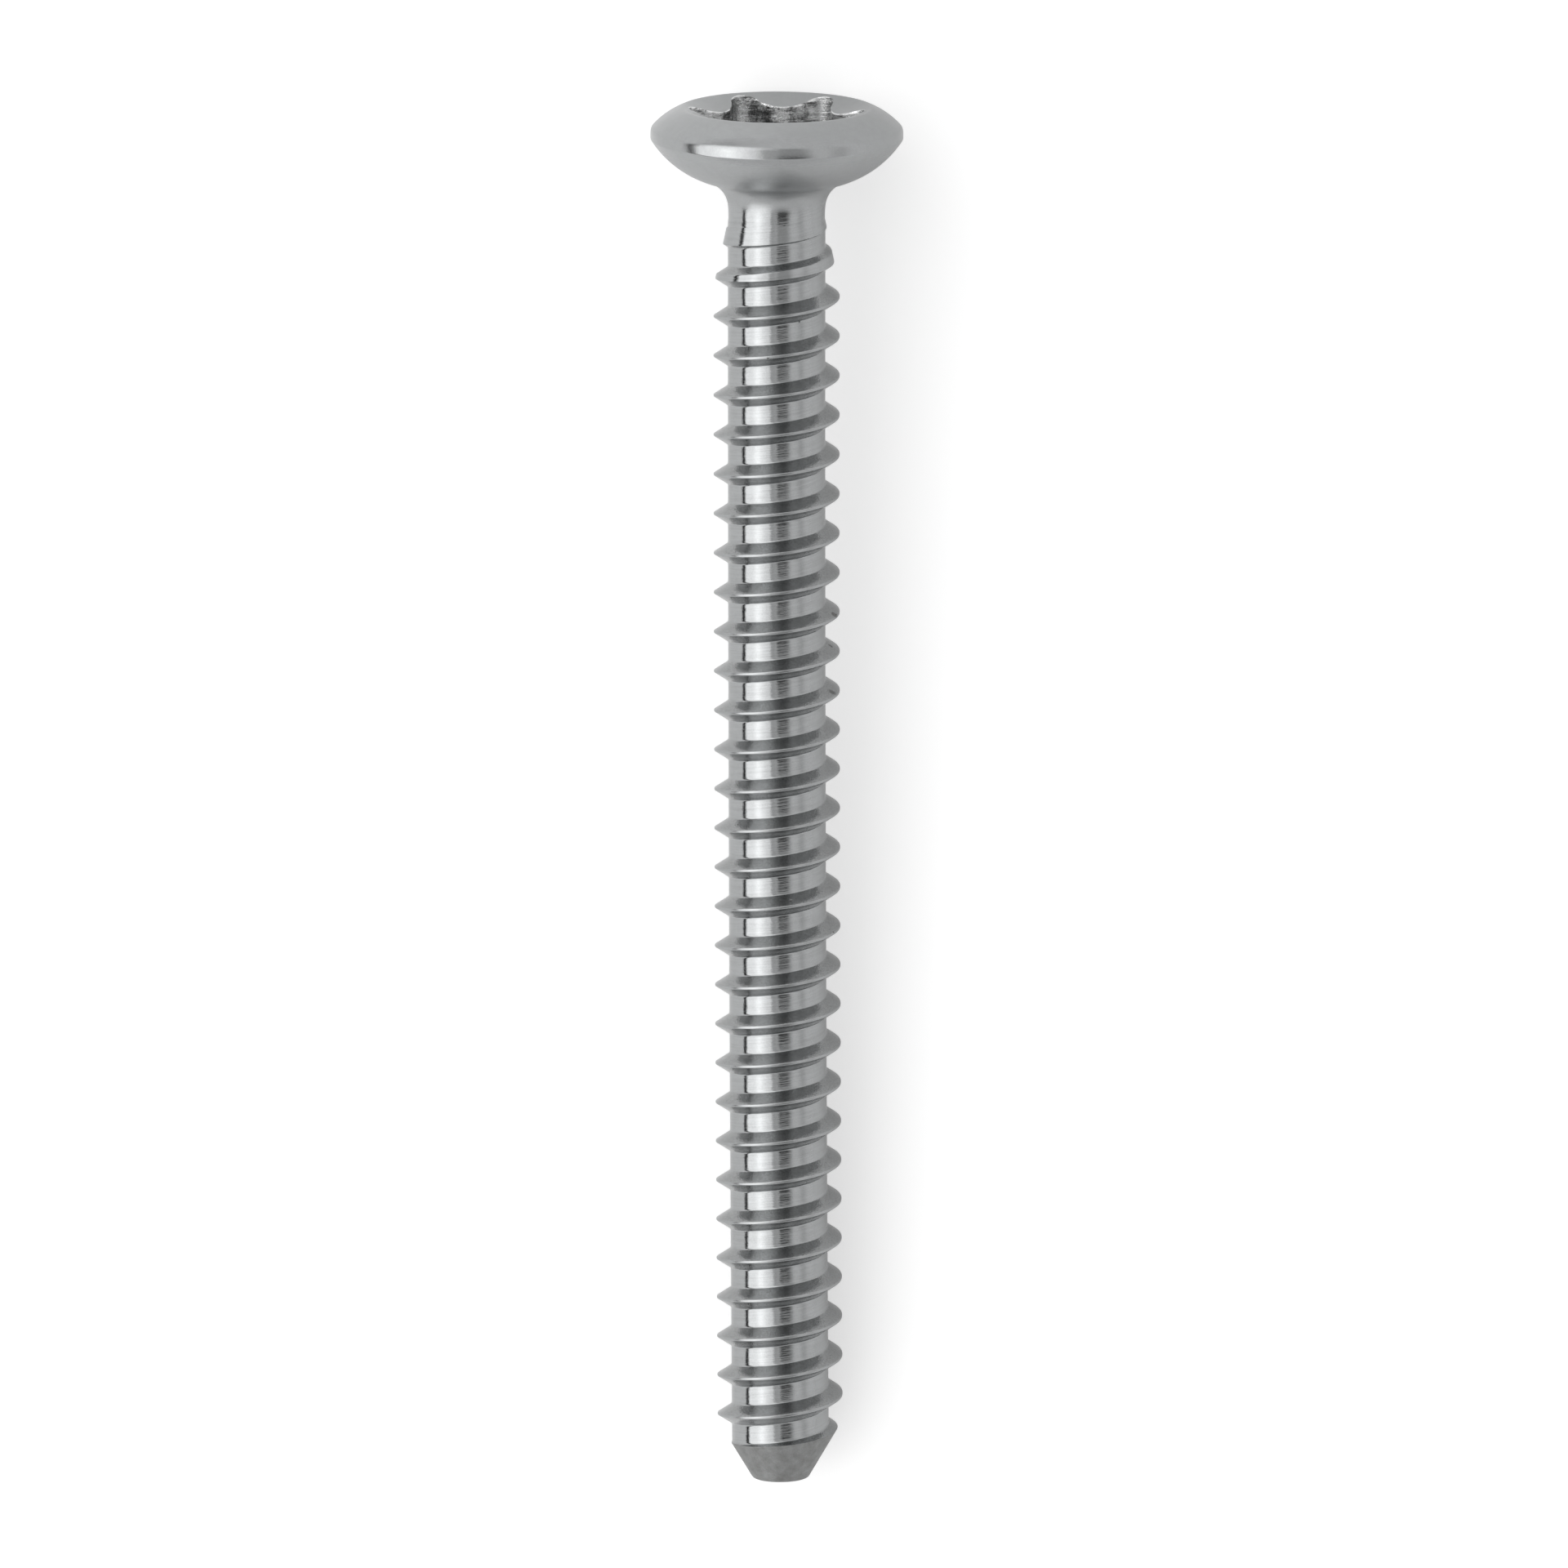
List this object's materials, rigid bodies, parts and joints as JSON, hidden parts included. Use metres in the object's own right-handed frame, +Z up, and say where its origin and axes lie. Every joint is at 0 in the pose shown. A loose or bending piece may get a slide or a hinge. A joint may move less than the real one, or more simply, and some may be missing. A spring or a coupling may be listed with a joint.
{
  "type": "bone screw",
  "caption": "Cortical bone screw with a low rounded head, a six-lobe driver recess, a short neck and a right-hand thread that ends at a blunt conical tip.",
  "frame": {"origin": "centre of the footprint of the lying screw, on the surface that it lies on", "axes": "+Z up; the screw lies along Y with its head at the +Y end, raised by the rim of the head; X across it"},
  "size_m": [0.004, 0.0222, 0.004],
  "materials": {
    "implant_steel": "satin"
  },
  "bodies": {
    "root": {"bone_screw": "implant_steel"}
  },
  "joints": []
}
